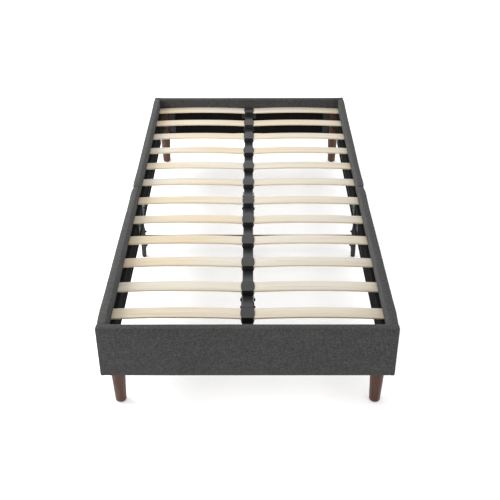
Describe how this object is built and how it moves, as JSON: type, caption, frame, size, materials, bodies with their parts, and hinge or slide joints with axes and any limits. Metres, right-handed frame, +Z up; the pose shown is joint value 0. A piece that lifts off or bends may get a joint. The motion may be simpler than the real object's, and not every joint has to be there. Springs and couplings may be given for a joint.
{
  "type": "upholstered platform bed frame",
  "caption": "Low padded platform bed frame with bent wood slats on a steel centre beam, tapered wooden corner legs and slim steel support legs.",
  "frame": {"origin": "on the floor under the middle of the bed", "axes": "+Z up, +X across the bed to the right seen from the foot, +Y along the bed from foot to head"},
  "size_m": [1.052, 2.092, 0.37],
  "materials": {
    "grey_cloth": "heather woven cloth",
    "black_lining": "matt non-woven lining",
    "board_wood": "unfinished board",
    "wrapped_batten": "batten wrapped in matt black lining",
    "birch": "clear satin",
    "walnut": "stained satin",
    "black_steel": "fine matt powder coat",
    "black_plastic": "fine grained",
    "black_bolts": "black oxide"
  },
  "bodies": {
    "bed": {"foot_panel_board": "board_wood", "foot_panel_cover": "grey_cloth", "foot_panel_lining": "black_lining", "head_panel_board": "board_wood", "head_panel_cover": "grey_cloth", "head_panel_lining": "black_lining", "left_rail_foot_board": "board_wood", "left_rail_foot_cover": "grey_cloth", "left_rail_head_board": "board_wood", "left_rail_head_cover": "grey_cloth", "left_rail_linings": "black_lining", "left_slat_ledges": "wrapped_batten", "right_rail_foot_board": "board_wood", "right_rail_foot_cover": "grey_cloth", "right_rail_head_board": "board_wood", "right_rail_head_cover": "grey_cloth", "right_rail_linings": "black_lining", "right_slat_ledges": "wrapped_batten", "rail_joint_plates": "black_steel", "foot_left_corner_bracket": "black_steel", "foot_left_leg": "walnut", "foot_right_corner_bracket": "black_steel", "foot_right_leg": "walnut", "beam_foot_half": "black_steel", "beam_foot_stub": "black_steel", "head_left_corner_bracket": "black_steel", "head_left_leg": "walnut", "head_right_corner_bracket": "black_steel", "head_right_leg": "walnut", "beam_head_half": "black_steel", "beam_head_stub": "black_steel", "leg_glides": "black_plastic", "beam_foot_cradle": "black_steel", "beam_middle_cradle": "black_steel", "beam_head_cradle": "black_steel", "beam_bolts": "black_bolts", "slat_row_01": "birch", "slat_row_02": "birch", "slat_row_03": "birch", "slat_row_04": "birch", "slat_row_05": "birch", "slat_row_06": "birch", "slat_row_07": "birch", "slat_row_08": "birch", "slat_row_09": "birch", "slat_row_10": "birch", "slat_row_11": "birch", "slat_row_12": "birch", "slat_holders": "black_plastic", "centre_leg": "black_steel", "left_support_leg": "black_steel", "left_crossbar": "black_steel", "right_support_leg": "black_steel", "right_crossbar": "black_steel", "frame_bolts": "black_bolts", "leg_inserts": "black_plastic"},
    "left_foot": {"left_leveller": "black_plastic"},
    "centre_foot": {"centre_leveller": "black_plastic"},
    "right_foot": {"right_leveller": "black_plastic"}
  },
  "joints": [
    {"name": "left_level", "type": "slide", "parent": "bed", "child": "left_foot", "axis": [0, 0, -1], "range_m": [0, 0.015]},
    {"name": "centre_level", "type": "slide", "parent": "bed", "child": "centre_foot", "axis": [0, 0, -1], "range_m": [0, 0.015]},
    {"name": "right_level", "type": "slide", "parent": "bed", "child": "right_foot", "axis": [0, 0, -1], "range_m": [0, 0.015]}
  ]
}
